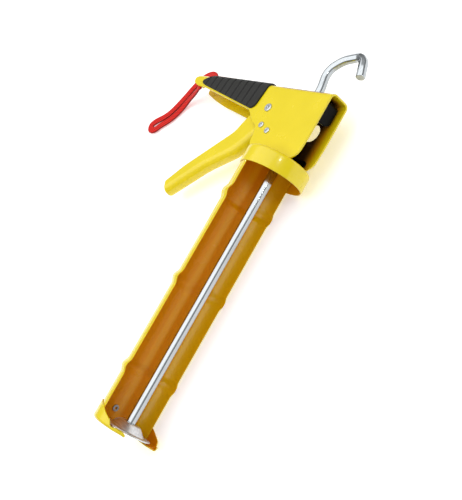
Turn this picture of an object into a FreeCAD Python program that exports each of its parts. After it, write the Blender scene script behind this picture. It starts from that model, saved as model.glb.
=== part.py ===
import FreeCAD, Part
import math
import os

# Half-barrel caulking gun with a hex push rod, lying on its left side on a bench.
#
# Gun frame: x runs forward along the push rod from the collar's rear face, z goes up out of the open
# cradle and y goes to the gun's left. All sub-parts are drawn there, in millimetres, and bench()
# then lays the gun on its left side, so that the collar, the front cap and the handle's tip touch
# the bench. In the saved parts +X is forward, the cradle opens towards +Y, +Z is up, and the origin
# is on the bench straight below the middle of the collar's rear face.

Vector = FreeCAD.Vector

# Barrel group
shell_radius = 28.5         # outside of the collar and of the front cap
shell_sheet = 1.2           # their sheet
corner_radius = 2.5         # pressed outer corner of both
collar_length = 16.3
barrel_front = 251.5        # outer face of the front cap
barrel_sheet = 1.0
barrel_setback = 1.4        # its ends stop short of the bends in the collar and the cap
rim_drop = 4.5              # rims of the half barrel below the rod's axis
bead_height = 2.0
bead_length = 14.0
bead_places = (44.0, 124.0, 204.0)
nozzle_slot = 24.0          # slot in the front cap
cap_wall = 15.3             # depth of the front cap's wall under the barrel
cap_arms_top = 22.5         # ends of its two arms, above the rod's axis
cap_rivet_x = 239.3

# Housing with its handle, one pressed channel
channel_width = 22.0
channel_sheet = 1.5
channel_corner = 5.0
spine_x = -63.4
housing_top = 29.3
handle_reach = 159.0        # from the rod's axis down to the handle's tip
view_hole = (-33.8, 6.5, 8.3)
strap_slot = (-147.0, -138.0, 4.0)
strap_pin_place = (-53.6, -148.0)
strap_pin_radius = 2.0
strap_pin_end = -4.9        # it stands in from the right side to here
spare_hole_radius = 1.1     # across from it, in the left side

# Rivets through the housing: x, z, head radius, shank radius
pivot_rivet = (-40.1, -35.3, 3.8, 2.6)
stop_rivet = (-23.4, -31.7, 2.8, 1.8)
bracket_rivet = (-19.2, -21.0, 2.8, 1.8)
rivet_head = 1.3

# Push rod group
rod_flats = 7.5
rod_front = 241.5
piston_radius = 21.5
piston_sheet = 1.2
piston_crown = 9.0          # radius of the flat top that the rod is fixed to
piston_foot = 15.5          # radius where the dish meets the flat rim
piston_dish = 6.3
piston_bend = 2.5
stub_radius = 2.9
stub_length = 6.5
washer_radius = 6.2
washer_sheet = 1.2
nut_flats = 10.0
nut_height = 3.6

# Drive group
trigger_width = 14.0
trigger_sheet = 1.5
trigger_travel = 36.0       # degrees
nose_arm = 26.0             # pivot to drive roller
nose_angle = -trigger_travel / 2
roller_radius = 4.2
drive_sheet = 3.0
drive_tilt = 8.0            # degrees, the drive plate's lean
release_x = -57.0
release_sheet = 2.5
release_foot = -13.0
release_top = 24.0
release_tab = 19.5          # thumb tab, ahead of the plate

# Fits
running = 0.05              # radial, on pins and in the guide bush
free = 0.4                  # side gaps between pieces that move
contact_gap = 0.5           # drive roller to drive plate

# Grip and strap
grip_skin = 1.8
strap_diameter = 4.0
strap_route = (
    (-52.57, -149.68, 19.17),
    (-51.3, -151.87, 18.93),
    (-49.7, -154.4, 16.8),
    (-47.7, -158.2, 13.8),
    (-45.3, -163.7, 10.4),
    (-42.0, -169.7, 7.0),
    (-37.3, -174.5, 4.4),
    (-31.3, -178.3, 2.8),
    (-25.2, -181.4, 2.3),
    (-19.2, -184.7, 2.3),
    (-14.0, -189.2, 2.3),
    (-9.0, -194.4, 2.3),
    (-2.6, -198.6, 2.3),
    (-1.4, -204.4, 2.3),
    (-6.8, -207.8, 2.3),
    (-12.2, -203.6, 2.3),
    (-16.8, -197.4, 2.3),
    (-23.0, -191.6, 2.3),
    (-30.9, -187.8, 2.3),
    (-38.5, -184.9, 2.3),
    (-46.6, -182.2, 2.3),
    (-54.8, -179.4, 2.6),
    (-62.2, -174.6, 4.2),
    (-67.4, -167.2, 7.0),
    (-70.0, -158.8, 9.8),
    (-70.2, -150.8, 12.0),
    (-67.0, -144.8, 13.2),
    (-61.8, -142.4, 13.2),
    (-59.4, -141.4, 17.0),
    (-56.6, -142.7, 19.94),
    (-54.64, -146.1, 19.57),
)

barrel_radius = shell_radius - shell_sheet
half_channel = channel_width / 2
half_trigger = trigger_width / 2
rod_corners = rod_flats / math.sqrt(3)

# Small fasteners and bores
bush_radius = 7.0
bush_rear = -4.0
bush_flange_radius = 8.6
bush_flange = 2.0
collar_rivet_places = ((-5.0, 14.0), (5.0, 14.0), (-5.0, -14.0), (5.0, -14.0))
collar_rivet_shank = 1.6
collar_rivet_head = 2.8
collar_rivet_crown = 1.0    # height of its heads
cap_rivet_shank = 1.9
cap_rivet_head = 2.8
cap_rivet_bore = 1.2
cap_rivet_outside = 0.7     # height of its head under the cap
cap_rivet_inside = 1.0      # height of its head in the barrel
pivot_bush_radius = 4.6
roller_pin_radius = 1.6
drive_heights = (-15.0, 17.5)  # the drive plate's foot and top
drive_half = 8.0
drive_corner = 2.5
spring_radius = 6.6         # middle of both springs' wire
drive_wire = 0.8            # radius
drive_spring_ends = (4.2, -4.9)  # ahead of the drive plate's middle, and behind the collar's face
drive_turns = 7
release_wire = 0.5          # radius
release_spring_gap = 0.7    # from its ends to the spine and to the plate
release_turns = 1.5
release_play = 0.8          # round the rod's corners, in the release plate
release_half = 7.5
nose_half = 3.6             # half size of the trigger's nose

# Outlines in the x-z plane, as (x, z, corner radius)
housing_corners = (
    (0.0, 22.0, 0),
    (-5.5, 28.0, 10.0),
    (-22.0, housing_top, 8.0),
    (spine_x, housing_top, 0),
    (spine_x, -handle_reach + 7.0, 6.0),
    (-59.5, -handle_reach, 2.5),
    (-54.0, -handle_reach, 5.0),
    (-48.0, -141.0, 30.0),
    (-43.0, -121.0, 80.0),
    (-36.5, -84.0, 80.0),
    (-29.0, -58.0, 20.0),
    (-22.0, -38.0, 10.0),
    (-5.0, -34.0, 5.0),
    (0.0, -27.0, 3.0),
)
grip_corners = (
    (spine_x - grip_skin, -49.0, 0),
    (-35.6, -53.2, 6.0),
    (-52.0, -138.0, 5.0),
    (-53.6, -143.6, 2.2),
    (-58.2, -143.0, 3.0),
    (spine_x - grip_skin, -132.0, 0),
)
bracket_corners = (
    (0.0, 20.0, 0),
    (-8.0, 20.0, 3.0),
    (-8.0, -8.0, 6.0),
    (-25.0, -16.0, 4.0),
    (-28.0, -30.0, 3.0),
    (-22.0, -36.0, 3.0),
    (-7.0, -32.0, 3.0),
    (0.0, -24.0, 2.0),
)
hook_corners = (
    (rod_front, 0.0, 0),
    (-70.0, 0.0, 30.0),
    (-88.0, -4.6, 14.0),
    (-99.2, 8.4, 25.0),
    (-104.6, 28.4, 9.0),
    (-84.6, 36.4, 0),
)
trigger_front = (
    (-44.3, -19.0, 3.0),
    (5.0, -55.5, 30.0),
    (25.1, -83.7, 80.0),
    (57.9, -116.2, 3.0),
)
trigger_back = (
    (48.5, -122.6, 4.0),
    (27.5, -107.1, 80.0),
    (-14.5, -66.3, 25.0),
    (-33.0, -59.0, 12.0),
    (-47.0, -42.0, 8.0),
)
trigger_hollow = (
    (-60.0, 0.0, 0),
    (-30.0, -8.0, 0),
    (-31.0, -31.3, 6.0),
    (3.5, -56.3, 30.0),
    (23.7, -84.6, 80.0),
    (60.4, -120.5, 0),
    (40.0, -140.0, 0),
    (-60.0, -60.0, 0),
)
cap_mouth_line = (
    (236.2, -17.0, 6.0),
    (239.6, -3.6, 12.0),
    (244.7, 9.8, 1.2),
    (248.2, 11.0, 1.2),
    (249.7, 13.8, 1.2),
    (247.9, 17.0, 1.2),
)
right_side_relief = (
    (-26.0, -47.0, 0),
    (-35.4, -58.5, 5.0),
    (-50.3, -138.0, 20.0),
    (-51.0, -150.3, 0),
    (-35.0, -150.3, 0),
    (-15.0, -60.0, 0),
)


# ---- shapes that repeat ----

def arc_corner(before, corner, after, radius):
    """Tangent points and the middle point of an arc that rounds a corner."""
    back = before.sub(corner).normalize()
    on = after.sub(corner).normalize()
    half = back.getAngle(on) / 2
    reach = radius / math.tan(half)
    middle = back.add(on).normalize()
    start = corner.add(back * reach)
    end = corner.add(on * reach)
    top = corner.add(middle * (radius / math.sin(half) - radius))
    return start, top, end


def rounded_path(points, radii, closed):
    """A wire of straight runs joined by tangent arcs; a radius of 0 keeps a sharp corner."""
    count = len(points)
    ends = []
    for i, point in enumerate(points):
        inner = closed or 0 < i < count - 1
        if inner and radii[i] > 0:
            ends.append(arc_corner(points[i - 1], point, points[(i + 1) % count], radii[i]))
        else:
            ends.append((point, None, point))
    edges = []
    for i, (start, top, end) in enumerate(ends):
        if top is not None:
            edges.append(Part.Arc(start, top, end).toShape())
        if closed or i < count - 1:
            following = ends[(i + 1) % count][0]
            if end.distanceToPoint(following) > 1e-6:
                edges.append(Part.LineSegment(end, following).toShape())
    return Part.Wire(edges)


def outline(corners):
    """A closed outline in the x-z plane from (x, z, radius) corners."""
    points = [Vector(x, 0, z) for x, z, _ in corners]
    return rounded_path(points, [radius for _, _, radius in corners], True)


def slab(corners, left, right):
    """The outline pushed through from y = left to y = right."""
    face = Part.Face(outline(corners))
    face.translate(Vector(0, left, 0))
    return face.extrude(Vector(0, right - left, 0))


def turned(corners):
    """An (x, radius, corner radius) profile turned about the rod's axis."""
    return Part.Face(outline(corners)).revolve(Vector(0, 0, 0), Vector(1, 0, 0), 360)


def along_x(radius, start, end, y=0.0, z=0.0):
    return Part.makeCylinder(radius, end - start, Vector(start, y, z), Vector(1, 0, 0))


def across(radius, x, z, left, right):
    return Part.makeCylinder(radius, right - left, Vector(x, left, z), Vector(0, 1, 0))


def box(x0, x1, y0, y1, z0, z1):
    return Part.makeBox(x1 - x0, y1 - y0, z1 - z0, Vector(x0, y0, z0))


def hexagon(flats, x):
    """A hexagon wire across the rod's axis, with two of its flats level."""
    radius = flats / math.sqrt(3)
    points = []
    for i in range(7):
        turn = math.radians(60 * i)
        points.append(Vector(x, radius * math.cos(turn), radius * math.sin(turn)))
    return Part.makePolygon(points)


def hex_bar(flats, start, end):
    return Part.Face(hexagon(flats, start)).extrude(Vector(end - start, 0, 0))


def coil(start, end, radius, wire, turns):
    """A compression spring round the rod's axis."""
    path = Part.makeHelix((end - start) / turns, end - start, radius)
    path.rotate(Vector(0, 0, 0), Vector(0, 1, 0), 90)
    path.translate(Vector(start, 0, 0))
    edge = path.Edges[0]
    first = edge.valueAt(edge.FirstParameter)
    way = edge.tangentAt(edge.FirstParameter)
    section = Part.Wire(Part.makeCircle(wire, first, way))
    return Part.Wire(path.Edges).makePipeShell([section], True, True)


def rivet(place, grip_half):
    """A semi-tubular rivet across the housing, with a dimple in each head."""
    x, z, head, shank = place
    solid = across(shank, x, z, -grip_half, grip_half)
    for side in (-1, 1):
        start = side * grip_half
        end = side * (grip_half + rivet_head)
        dome = across(head, x, z, min(start, end), max(start, end))
        rims = [edge for edge in dome.Edges if abs(edge.CenterOfMass.y - end) < 1e-6]
        dome = dome.makeFillet(rivet_head * 0.6, rims)
        dimple = across(shank * 0.62, x, z, min(end, start + side * 0.4), max(end, start + side * 0.4))
        solid = solid.fuse(dome.cut(dimple))
    return solid.removeSplitter()


# ---- barrel group ----

def half_barrel():
    """Half a tube with three pressed beads, from inside the collar to inside the front cap."""
    def side(radius):
        """Edges of the wall's one side, from the rear to the front."""
        edges = []
        x = shell_sheet + barrel_setback
        for place in bead_places:
            low = place - bead_length / 2
            high = place + bead_length / 2
            edges.append(Part.LineSegment(Vector(x, 0, radius), Vector(low, 0, radius)).toShape())
            crest = Vector(place, 0, radius + bead_height)
            edges.append(Part.Arc(Vector(low, 0, radius), crest, Vector(high, 0, radius)).toShape())
            x = high
        front = barrel_front - shell_sheet - barrel_setback
        edges.append(Part.LineSegment(Vector(x, 0, radius), Vector(front, 0, radius)).toShape())
        return edges
    outer = side(barrel_radius)
    inner = side(barrel_radius - barrel_sheet)
    caps = []
    for x in (shell_sheet + barrel_setback, barrel_front - shell_sheet - barrel_setback):
        low = Vector(x, 0, barrel_radius - barrel_sheet)
        caps.append(Part.LineSegment(low, Vector(x, 0, barrel_radius)).toShape())
    section = Part.Wire(Part.__sortEdges__(outer + inner + caps))
    tube = Part.Face(section).revolve(Vector(0, 0, 0), Vector(1, 0, 0), 360)
    reach = 2 * shell_radius
    solid = tube.cut(box(-1, barrel_front, -reach, reach, -rim_drop, reach))
    return solid.cut(cap_rivet_hole())


def cup(back, mouth, hole):
    """A pressed cup about the rod's axis: a disc at x = back with a wall out to x = mouth."""
    way = 1 if mouth > back else -1
    sheet = way * shell_sheet
    inner = shell_radius - shell_sheet
    return turned((
        (back, hole, 0),
        (back, shell_radius, corner_radius),
        (mouth, shell_radius, 0),
        (mouth, inner, 0),
        (back + sheet, inner, corner_radius - shell_sheet),
        (back + sheet, hole, 0),
    ))


def collar():
    """Ring and disc at the back of the cradle."""
    solid = cup(0, collar_length, bush_radius)
    for y, z in collar_rivet_places:
        solid = solid.cut(along_x(collar_rivet_shank, -1, 2 * shell_sheet, y, z))
    return solid


def front_cap():
    """Cup over the barrel's front end, with two arms above the rims and a slot for the nozzle."""
    solid = cup(barrel_front, barrel_front - cap_wall, 0.5)
    reach = 2 * shell_radius
    mouth = barrel_front - cap_wall
    behind = mouth - 1
    waste = slab((
        (behind, -reach, 0),
        (mouth, -reach, 0),
        *cap_mouth_line,
        (cap_mouth_line[-1][0], reach, 0),
        (behind, reach, 0),
    ), -reach, reach)
    solid = solid.cut(waste).cut(box(behind, barrel_front + 1, -reach, reach, cap_arms_top, reach))
    half = nozzle_slot / 2
    through = barrel_front - corner_radius
    slot = box(through, barrel_front + 1, -half, half, 0, reach)
    slot = slot.fuse(along_x(half, through, barrel_front + 1))
    return solid.cut(slot).cut(cap_rivet_hole())


def cap_rivet_hole():
    length = 4 * shell_sheet
    base = Vector(cap_rivet_x, 0, -shell_radius - shell_sheet)
    return Part.makeCylinder(cap_rivet_shank, length, base, Vector(0, 0, 1))


def cap_rivet():
    """Tubular rivet that holds the front cap under the barrel."""
    inside = -(barrel_radius - barrel_sheet)
    low = -shell_radius - cap_rivet_outside
    high = inside + cap_rivet_inside
    base = Vector(cap_rivet_x, 0, low)
    up = Vector(0, 0, 1)
    solid = Part.makeCylinder(cap_rivet_shank, high - low, base, up)
    solid = solid.fuse(Part.makeCylinder(cap_rivet_head, -shell_radius + 0.3 - low, base, up))
    inner_base = Vector(cap_rivet_x, 0, inside)
    solid = solid.fuse(Part.makeCylinder(cap_rivet_head, high - inside, inner_base, up))
    solid = solid.cut(Part.makeCylinder(cap_rivet_bore, high - low + 2, Vector(cap_rivet_x, 0, low - 1), up))
    return solid.cut(half_barrel()).cut(front_cap())


# ---- housing group ----

def channel_core(back, half, radius):
    """A tall bar, rounded where its sides meet its back, that stands for a folded channel."""
    core = box(back, 60, -half, half, -handle_reach - 5, housing_top + 5)
    spine = [edge for edge in core.Edges if on_spine(edge, back, half)]
    return core.makeFillet(radius, spine)


def on_spine(edge, x, half):
    """True for the upright edges at x where a bar's side meets its end."""
    middle = edge.CenterOfMass
    return abs(middle.x - x) < 0.01 and abs(abs(middle.y) - half) < 0.01


def housing():
    """One folded sheet: two sides and a spine, open to the top, the front and below."""
    block = slab(housing_corners, -half_channel, half_channel)
    block = block.cut(slab(right_side_relief, -half_channel - 1, 0))
    block = block.common(channel_core(spine_x, half_channel, channel_corner))
    inner_half = half_channel - channel_sheet
    inner_corner = channel_corner - channel_sheet
    solid = block.cut(channel_core(spine_x + channel_sheet, inner_half, inner_corner))
    for x, z, _, shank in (pivot_rivet, stop_rivet, bracket_rivet):
        solid = solid.cut(across(shank, x, z, -channel_width, channel_width))
    hole_x, hole_z, hole_radius = view_hole
    solid = solid.cut(across(hole_radius, hole_x, hole_z, 0, channel_width))
    solid = solid.cut(along_x(rod_corners + free, spine_x - 5, spine_x + 5))
    low, high, half_slot = strap_slot
    solid = solid.cut(box(spine_x - 5, spine_x + 5, -half_slot, half_slot, low, high))
    x, z = strap_pin_place
    solid = solid.cut(across(spare_hole_radius, x, z, 0, channel_width))
    return solid.cut(across(strap_pin_radius, x, z, -channel_width, 0))


def strap_pin():
    """Short pin in the right side of the handle's tip, that the strap is looped on."""
    x, z = strap_pin_place
    return across(strap_pin_radius, x, z, -half_channel, strap_pin_end)


def hand_grip():
    """Ribbed pad that wraps the spine and both sides of the handle."""
    half = half_channel + grip_skin
    outer = slab(grip_corners, -half, half)
    outer = outer.common(channel_core(spine_x - grip_skin, half, channel_corner + grip_skin))
    return outer.cut(channel_core(spine_x, half_channel, channel_corner))


def mounting_bracket():
    """Folded bracket that joins the housing's sides to the collar's disc."""
    half = half_channel - channel_sheet
    solid = slab(bracket_corners, -half, half)
    hollow = box(-60, -channel_sheet, -half + channel_sheet, half - channel_sheet, -60, 60)
    solid = solid.cut(hollow).cut(along_x(bush_radius, -5, 5))
    for y, z in collar_rivet_places:
        solid = solid.cut(along_x(collar_rivet_shank, -5, 5, y, z))
    for x, z, _, shank in (bracket_rivet, stop_rivet):
        solid = solid.cut(across(shank, x, z, -channel_width, channel_width))
    return solid


def collar_rivets():
    """Four rivets through the bracket and the collar's disc."""
    solids = []
    for y, z in collar_rivet_places:
        ahead = shell_sheet + collar_rivet_crown
        behind = -channel_sheet - collar_rivet_crown
        shank = along_x(collar_rivet_shank, behind, ahead, y, z)
        front = along_x(collar_rivet_head, shell_sheet, ahead, y, z)
        rear = along_x(collar_rivet_head, behind, -channel_sheet, y, z)
        solids.append(shank.fuse([front, rear]).removeSplitter())
    return Part.makeCompound(solids)


def rod_bush():
    """Flanged guide bush for the hex rod, pressed through the collar's disc."""
    front = shell_sheet + bush_flange
    solid = along_x(bush_radius, bush_rear, front)
    solid = solid.fuse(along_x(bush_flange_radius, shell_sheet, front))
    return solid.cut(hex_bar(rod_flats + 2 * running, -10, 10)).removeSplitter()


# ---- push rod group ----

def push_rod():
    """Hex rod: a threaded stub in front, a straight bar, and a hook bent upwards at the back."""
    points = [Vector(x, 0, z) for x, z, _ in hook_corners]
    path = rounded_path(points, [radius for _, _, radius in hook_corners], False)
    bar = path.makePipeShell([hexagon(rod_flats, rod_front)], True, False)
    return bar.fuse(along_x(stub_radius, rod_front - 2, rod_front + stub_length)).removeSplitter()


def piston_plate():
    """Dished plate with a flat rim that pushes the cartridge's bottom."""
    rim = rod_front + piston_dish
    inset = piston_sheet / 2
    return turned((
        (rod_front, stub_radius, 0),
        (rod_front, piston_crown, piston_bend),
        (rim, piston_foot, piston_bend),
        (rim, piston_radius, 0),
        (rim + piston_sheet, piston_radius, 0),
        (rim + piston_sheet, piston_foot - inset, piston_bend),
        (rod_front + piston_sheet, piston_crown - inset, piston_bend),
        (rod_front + piston_sheet, stub_radius, 0),
    ))


def piston_washer():
    start = rod_front + piston_sheet
    solid = along_x(washer_radius, start, start + washer_sheet)
    return solid.cut(along_x(stub_radius, start - 1, start + washer_sheet + 1))


def piston_nut():
    start = rod_front + piston_sheet + washer_sheet
    solid = hex_bar(nut_flats, start, start + nut_height)
    return solid.cut(along_x(stub_radius, start - 1, start + nut_height + 1))


# ---- drive group ----

def nose_place():
    """Centre of the drive roller with the trigger at rest."""
    turn = math.radians(nose_angle)
    return pivot_rivet[0] + nose_arm * math.sin(turn), pivot_rivet[1] + nose_arm * math.cos(turn)


def drive_centre():
    """Where the drive plate's middle plane meets the rod's axis, one gap ahead of the roller."""
    x, z = nose_place()
    lean = math.radians(drive_tilt)
    gap = roller_radius + contact_gap + drive_sheet / 2
    return x + (gap + z * math.sin(lean)) / math.cos(lean)


def leaning(shape, x):
    """Lean a plate drawn at x = 0 so that its top goes back, and move it to x."""
    shape.rotate(Vector(0, 0, 0), Vector(0, 1, 0), -drive_tilt)
    shape.translate(Vector(x, 0, 0))
    return shape


def drive_plate():
    """Thick plate round the rod that grips it and carries it forward."""
    half = drive_sheet / 2
    plate = box(-half, half, -drive_half, drive_half, *drive_heights)
    upright = [edge for edge in plate.Edges if abs(edge.Length - drive_sheet) < 1e-6]
    plate = plate.makeFillet(drive_corner, upright)
    hole = hex_bar(rod_flats + 2 * free, -10, 10)
    return leaning(plate.cut(hole), drive_centre())


def drive_spring():
    """Return spring from the drive plate to the guide bush."""
    ahead, end = drive_spring_ends
    return coil(drive_centre() + ahead, end, spring_radius, drive_wire, drive_turns)


def trigger():
    """Pressed channel open towards the handle, with a short nose inside the housing."""
    nose_x, nose_z = nose_place()
    outer = slab(trigger_corners(), -half_trigger, half_trigger)
    inner_half = half_trigger - trigger_sheet
    web = slab(trigger_hollow, -inner_half, inner_half)
    solid = outer.cut(web)
    solid = solid.cut(across(pivot_bush_radius, pivot_rivet[0], pivot_rivet[1], -20, 20))
    return solid.cut(across(roller_pin_radius, nose_x, nose_z, -20, 20))


def trigger_corners():
    nose_x, nose_z = nose_place()
    top = nose_z + nose_half
    return (
        (nose_x - nose_half, top, 3.1),
        (nose_x + nose_half, top, 3.1),
        *trigger_front,
        *trigger_back,
    )


def pivot_bush():
    """Spacer tube pressed into the trigger, turning on the pivot rivet."""
    x, z, _, shank = pivot_rivet
    solid = across(pivot_bush_radius, x, z, -half_trigger, half_trigger)
    return solid.cut(across(shank + running, x, z, -20, 20))


def drive_roller():
    x, z = nose_place()
    half = half_trigger - trigger_sheet - free
    return across(roller_radius, x, z, -half, half).cut(across(roller_pin_radius, x, z, -20, 20))


def roller_pin():
    x, z = nose_place()
    return across(roller_pin_radius, x, z, -half_trigger - 0.4, half_trigger + 0.4)


def release_plate():
    """Locking plate behind the drive plate, with a rounded thumb tab under the open top."""
    back = release_x - release_sheet / 2
    solid = slab((
        (back, release_foot, 0),
        (back, release_top, release_sheet + 1.0),
        (back + release_tab, release_top, 0.8),
        (back + release_tab, release_top - release_sheet, 0.8),
        (back + release_sheet, release_top - release_sheet, 1.0),
        (back + release_sheet, release_foot, 0),
    ), -release_half, release_half)
    core = box(back - 1, back + release_tab, -release_half, release_half, release_foot - 1, release_top + 1)
    ends = [edge for edge in core.Edges if on_spine(edge, back + release_tab, release_half)]
    solid = solid.common(core.makeFillet(release_half - 1.5, ends))
    return solid.cut(along_x(rod_corners + release_play, back - 5, back + 5 + release_sheet))


def release_spring():
    """Short spring between the spine and the release plate."""
    start = spine_x + channel_sheet + release_spring_gap
    end = release_x - release_sheet / 2 - release_spring_gap
    return coil(start, end, spring_radius, release_wire, release_turns)


# ---- strap ----

def wrist_strap():
    """The strap's route as a round tube: straight runs joined by tangent arcs."""
    points = [Vector(*point) for point in strap_route]
    radii = [0.0]
    for before, point, after in zip(points, points[1:], points[2:]):
        back = before.sub(point)
        on = after.sub(point)
        half_turn = (math.pi - back.getAngle(on)) / 2
        radii.append(0.45 * min(back.Length, on.Length) / math.tan(half_turn))
    radii.append(0.0)
    path = rounded_path(points, radii, False)
    way = points[1].sub(points[0])
    section = Part.Wire(Part.makeCircle(strap_diameter / 2, points[0], way))
    tube = path.makePipeShell([section], True, False)
    expected = math.pi * (strap_diameter / 2) ** 2 * path.Length
    print("strap radii", [round(radius, 1) for radius in radii[1:-1]])
    print("strap length", round(path.Length, 1), "volume share", round(tube.Volume / expected, 4))
    return tube


# ---- laying the gun on the bench ----

def laid(shape, roll):
    """The shape turned onto its left side, with the handle tipped down by roll degrees."""
    placed = shape.copy()
    placed.rotate(Vector(0, 0, 0), Vector(1, 0, 0), roll - 90)
    return placed


def resting_roll(rests):
    """The roll at which the lowest point of these shapes is level with the collar's."""
    low = 0.0
    high = 15.0
    for _ in range(18):
        roll = (low + high) / 2
        lowest = min(laid(shape, roll).optimalBoundingBox(False).ZMin for shape in rests)
        if lowest > -shell_radius:
            low = roll
        else:
            high = roll
    return (low + high) / 2


def bench(shape, roll):
    placed = laid(shape, roll)
    placed.translate(Vector(0, 0, shell_radius))
    return placed


def on_bench(x, y, z, roll):
    """A point of the gun frame as a point of the saved frame, in metres."""
    turn = math.radians(roll)
    across_bench = z * math.cos(turn) + y * math.sin(turn)
    height = z * math.sin(turn) - y * math.cos(turn) + shell_radius
    return [round(value / 1000, 6) for value in (x, across_bench, height)]


def main():
    half = half_channel
    pieces = {
        "half_barrel": half_barrel(),
        "collar": collar(),
        "front_cap": front_cap(),
        "cap_rivet": cap_rivet(),
        "housing": housing(),
        "hand_grip": hand_grip(),
        "mounting_bracket": mounting_bracket(),
        "collar_rivets": collar_rivets(),
        "rod_bush": rod_bush(),
        "bracket_rivet": rivet(bracket_rivet, half),
        "stop_rivet": rivet(stop_rivet, half),
        "pivot_rivet": rivet(pivot_rivet, half),
        "strap_pin": strap_pin(),
        "push_rod": push_rod(),
        "piston_plate": piston_plate(),
        "piston_washer": piston_washer(),
        "piston_nut": piston_nut(),
        "trigger": trigger(),
        "pivot_bush": pivot_bush(),
        "drive_roller": drive_roller(),
        "roller_pin": roller_pin(),
        "drive_plate": drive_plate(),
        "drive_spring": drive_spring(),
        "release_plate": release_plate(),
        "release_spring": release_spring(),
    }
    roll = resting_roll((pieces["housing"], pieces["hand_grip"]))
    os.makedirs("parts", exist_ok=True)
    for name, shape in pieces.items():
        bench(shape, roll).exportStep("parts/" + name + ".step")
        print(name, "solids", len(shape.Solids), "valid", shape.isValid(), "volume", round(shape.Volume))
    wrist_strap().exportStep("parts/wrist_strap.step")
    stroke = 2 * nose_arm * math.sin(math.radians(trigger_travel / 2))
    print("roll", round(roll, 4))
    print("trigger pivot", on_bench(pivot_rivet[0], 0, pivot_rivet[1], roll))
    print("trigger axis", [0, round(math.sin(math.radians(roll)), 6), round(-math.cos(math.radians(roll)), 6)])
    print("drive stroke", round(stroke, 3), "per radian", round(stroke / math.radians(trigger_travel), 3))
    print("release pivot", on_bench(release_x, 0, release_foot, roll))
    print("front face centre", on_bench(barrel_front, 0, -20.0, roll))


main()
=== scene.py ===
import math

import bmesh
import bpy
import numpy as np
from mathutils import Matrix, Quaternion, Vector


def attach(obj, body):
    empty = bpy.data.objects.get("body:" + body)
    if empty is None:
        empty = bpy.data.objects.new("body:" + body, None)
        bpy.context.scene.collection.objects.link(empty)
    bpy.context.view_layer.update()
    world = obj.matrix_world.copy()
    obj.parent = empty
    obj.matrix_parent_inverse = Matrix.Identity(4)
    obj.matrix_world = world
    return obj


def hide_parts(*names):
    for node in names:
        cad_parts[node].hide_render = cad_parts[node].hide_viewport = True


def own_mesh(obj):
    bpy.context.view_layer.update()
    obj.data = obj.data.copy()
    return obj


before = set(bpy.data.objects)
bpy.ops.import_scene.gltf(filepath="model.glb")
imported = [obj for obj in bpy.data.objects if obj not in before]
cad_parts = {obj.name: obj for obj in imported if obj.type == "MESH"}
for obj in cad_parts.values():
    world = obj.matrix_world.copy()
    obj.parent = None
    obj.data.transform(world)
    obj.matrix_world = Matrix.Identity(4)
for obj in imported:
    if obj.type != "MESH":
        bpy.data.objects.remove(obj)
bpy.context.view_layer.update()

# Half-barrel caulking gun on its left side. Sizes are in millimetres in the gun's own frame: x forward
# along the push rod from the collar's rear face, y to the gun's left, z up out of the open cradle.
# laid() turns them into the row frame in metres.

# Barrel group
gun_roll = math.radians(6.318)
shell_radius = 28.5
shell_sheet = 1.2
barrel_front = 251.5
barrel_radius = 27.3
barrel_sheet = 1.0
barrel_setback = 1.4        # from the discs of the collar and the front cap to the half barrel's ends
rim_drop = 4.5
bead_height = 2.0
bead_length = 14.0
bead_places = (44.0, 124.0, 204.0)
collar_length = 16.3
cup_bend = 2.2              # the corner between disc and wall, at the sheet's middle
bush_radius = 7.0
bush_gap = 0.3
cap_wall = 15.3
cap_arms_top = 22.5
nozzle_half = 12.0
# The front cap wall's depth at each angle from the barrel's bottom, in degrees
cap_depths = ((0, cap_wall), (52, cap_wall), (80, 12.6), (94, 9.2), (106, 6.9), (110, 6.2), (112.5, 3.6),
              (116, 2.3), (121, 2.5), (125, 3.5), (136, 3.4), (140, 3.0), (142.5, 1.9))
# The share of painted shade inside the cradle at each angle from the barrel's bottom, in radians: darker on the
# upper wall that faces down, lighter on the lower wall that faces up
painted_shade_shares = ((-0.2, 0.95), (0.02, 0.9), (0.12, 0.72), (0.24, 0.75), (0.34, 1), (0.7, 0.9), (0.92, 0.3),
               (1.5, 0.38))
hollow_fade = 0.3

# Handle
spine_x = -63.4
channel_half = 11.0
channel_corner = 5.0
grip_skin = 1.8
grip_gap = 0.03             # between the skin's inside and the channel
grip_top = -49.0
grip_bottom = -132.0
grip_front = ((-43.0, -52.1, 0), (-35.6, -53.2, 6.0), (-52.0, -138.0, 5.0), (-53.6, -143.6, 2.2),
              (-57.6, -143.1, 0))
grip_edge = 1.6             # the width over which the skin rounds down to its edge
groove_pitch = 9.4
groove_first = 10.6
groove_count = 8
groove_half = 1.2
groove_depth = 1.1
groove_slope = 0.13
grip_rows = 300
row_pitch = 0.3
column_pitch = 0.9
strap_width = 0.0069        # in metres, as are its thickness and its route
strap_thickness = 0.0022

# Trigger
trigger_front = ((-44.3, -9.0, 0), (-44.3, -19.0, 3.0), (5.0, -55.5, 30.0), (25.1, -83.7, 80.0),
                 (57.3, -116.2, 0))
trigger_back = ((-51.7, -9.0, 0), (-50.5, -38.0, 8.0), (-33.0, -59.0, 12.0), (-14.5, -66.3, 25.0),
                (27.5, -107.1, 80.0), (47.0, -121.6, 0))
trigger_rows = 150
trigger_half = 7.0
trigger_sheet = 1.5
trigger_bend = 5.8
trigger_trim = 0.2          # how far the sides' edges stay inside the back line

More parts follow.
